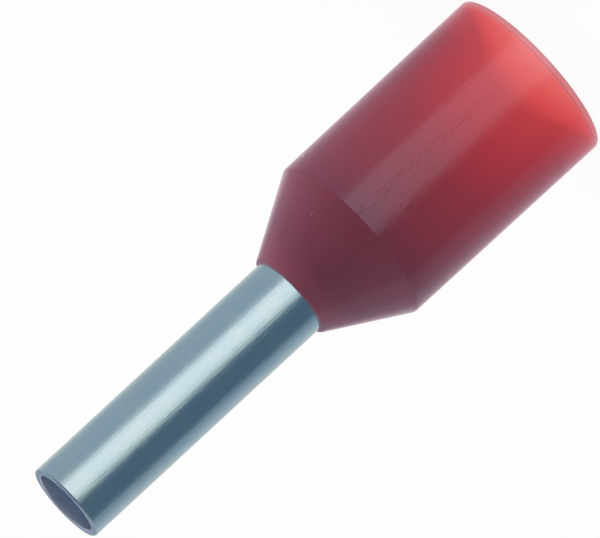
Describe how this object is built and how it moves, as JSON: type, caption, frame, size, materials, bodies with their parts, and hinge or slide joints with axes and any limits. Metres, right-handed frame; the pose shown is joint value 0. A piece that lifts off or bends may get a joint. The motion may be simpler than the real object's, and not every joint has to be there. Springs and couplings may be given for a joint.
{
  "type": "insulated wire ferrule",
  "caption": "Crimp ferrule for the end of a stranded wire: thin tinned copper tube flared into a red plastic collar with a conical shoulder.",
  "frame": {"origin": "centre of the collar's mouth, in the plane of its rim, which the ferrule stands on", "axes": "+Z runs along the ferrule's axis from the mouth to the tip of the tube; X and Y are free, because the part is round"},
  "size_m": [0.0038, 0.0038, 0.0125],
  "materials": {
    "tinned_copper": "drawn tube with a thin satin coat of tin, cool grey, with faint lines along its length",
    "red_polypropylene": "moulded, slightly translucent, with a soft gloss"
  },
  "bodies": {
    "root": {"sleeve": "tinned_copper", "collar": "red_polypropylene"}
  },
  "joints": []
}
